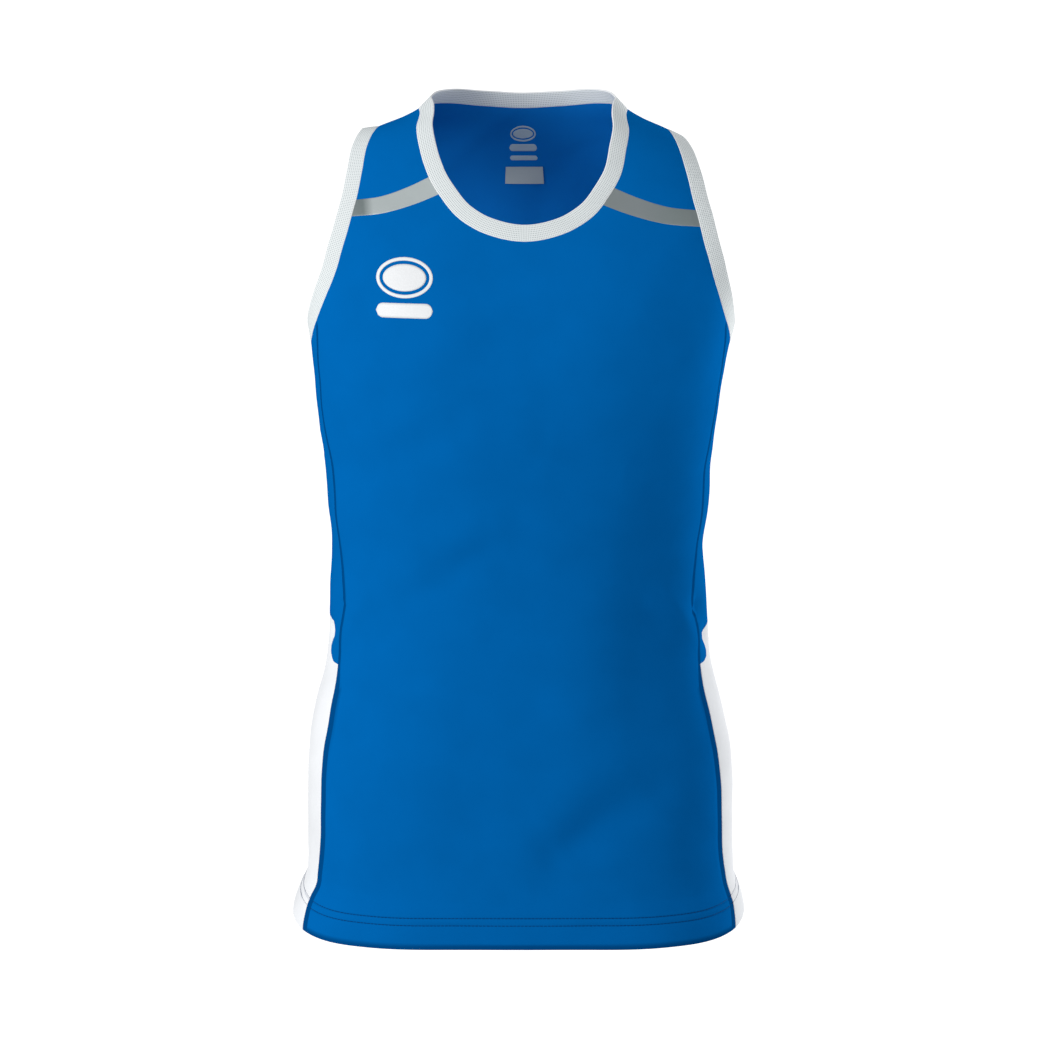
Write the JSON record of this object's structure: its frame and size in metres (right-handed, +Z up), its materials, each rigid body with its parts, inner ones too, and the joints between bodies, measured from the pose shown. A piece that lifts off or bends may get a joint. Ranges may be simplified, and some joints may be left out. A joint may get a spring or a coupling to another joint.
{
  "type": "sleeveless running singlet",
  "caption": "Close-fitting sleeveless running top in blue knit, filled out with no wearer: bound round neck and armholes, light stripes over the chest, white lower side panels, stitched hem.",
  "frame": {"origin": "midway between the two shoulder straps, level with their inner ends, where the wearer's shoulders hold the garment up", "axes": "+Z up, toward the neck; the front of the garment faces -Y; +X is the wearer's left"},
  "size_m": [0.3937, 0.2369, 0.7153],
  "materials": {
    "blue_knit": "smooth matt polyester knit in royal blue with a faint sheen",
    "white_knit": "smooth matt polyester knit in white",
    "silver_stripe": "silver grey stripe, a little shiny",
    "white_ribbed_tape": "white ribbed knit tape with a small square mesh",
    "label_grey": "plain grey woven label"
  },
  "bodies": {
    "root": {"front": "blue_knit", "back": "blue_knit", "stripe_left": "silver_stripe", "stripe_right": "silver_stripe", "front_yoke_left": "blue_knit", "front_yoke_right": "blue_knit", "side_upper_left": "blue_knit", "side_upper_right": "blue_knit", "side_lower_left": "white_knit", "side_lower_right": "white_knit", "neck_binding": "white_ribbed_tape", "armhole_binding_left": "white_ribbed_tape", "armhole_binding_right": "white_ribbed_tape", "neck_label": "label_grey"}
  },
  "joints": []
}
